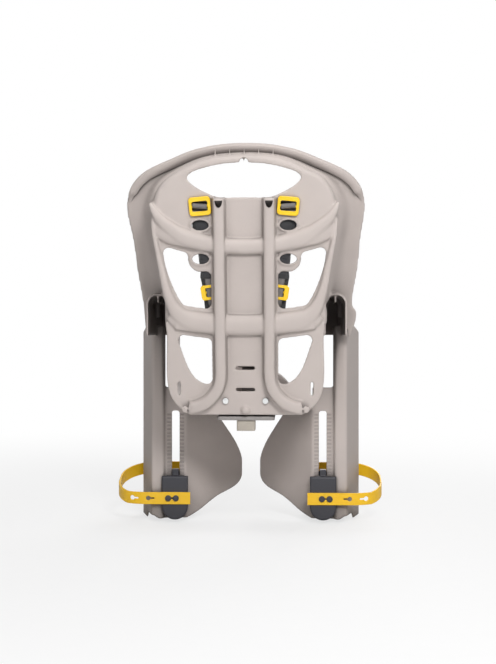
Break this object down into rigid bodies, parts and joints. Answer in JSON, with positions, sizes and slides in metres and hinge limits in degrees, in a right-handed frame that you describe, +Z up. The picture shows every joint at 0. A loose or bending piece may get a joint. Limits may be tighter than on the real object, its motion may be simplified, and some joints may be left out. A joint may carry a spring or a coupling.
{
  "type": "child bike seat",
  "caption": "Rear child bicycle seat: moulded tall-backed shell with wings, ribbed back, leg guards, sliding footrests, harness with buckle and a fixing plate.",
  "frame": {"origin": "middle of the fixing plate's four mounting holes, on the plate's underside", "axes": "+Z up, +Y the way the seated child faces, +X to the child's right hand side seen from behind"},
  "size_m": [0.512, 0.3832, 0.6842],
  "materials": {
    "shell": "fine grained, warm grey",
    "foot_plastic": "fine grained, dark blue-grey",
    "yellow_rubber": "satin yellow",
    "yellow_plastic": "gloss yellow",
    "webbing": "woven grey",
    "pad": "black padded cloth",
    "black_plastic": "satin black",
    "button": "satin red",
    "block": "beige grey",
    "plate": "grey",
    "steel": "zinc plated"
  },
  "bodies": {
    "seat": {"seat_shell": "shell", "fixing_plate": "plate", "plate_screws": "steel", "locating_block": "block", "panel_screws": "steel", "buckle_body": "black_plastic", "button_spring": "steel", "crotch_strap": "webbing", "crotch_anchor": "black_plastic", "strap_slider_right": "yellow_plastic", "strap_slider_left": "yellow_plastic", "shoulder_strap_right": "webbing", "shoulder_strap_left": "webbing", "shoulder_pad_right": "pad", "shoulder_pad_left": "pad", "strap_adjuster_right": "yellow_plastic", "strap_adjuster_left": "yellow_plastic", "latch_tongue_right": "black_plastic", "latch_tongue_left": "black_plastic"},
    "button": {"release_button": "button"},
    "footrest_right": {"footrest_right": "foot_plastic", "foot_strap_right": "yellow_rubber"},
    "footrest_left": {"footrest_left": "foot_plastic", "foot_strap_left": "yellow_rubber"}
  },
  "joints": [
    {"name": "footrest_slide_right", "type": "slide", "parent": "seat", "child": "footrest_right", "axis": [0, 0, 1], "range_m": [0, 0.11]},
    {"name": "footrest_slide_left", "type": "slide", "parent": "seat", "child": "footrest_left", "axis": [0, 0, 1], "range_m": [0, 0.11]},
    {"name": "button_press", "type": "slide", "parent": "seat", "child": "button", "axis": [0, -1, 0], "range_m": [0, 0.003], "stiffness_N_per_m": 900, "springref_m": -0.002}
  ]
}
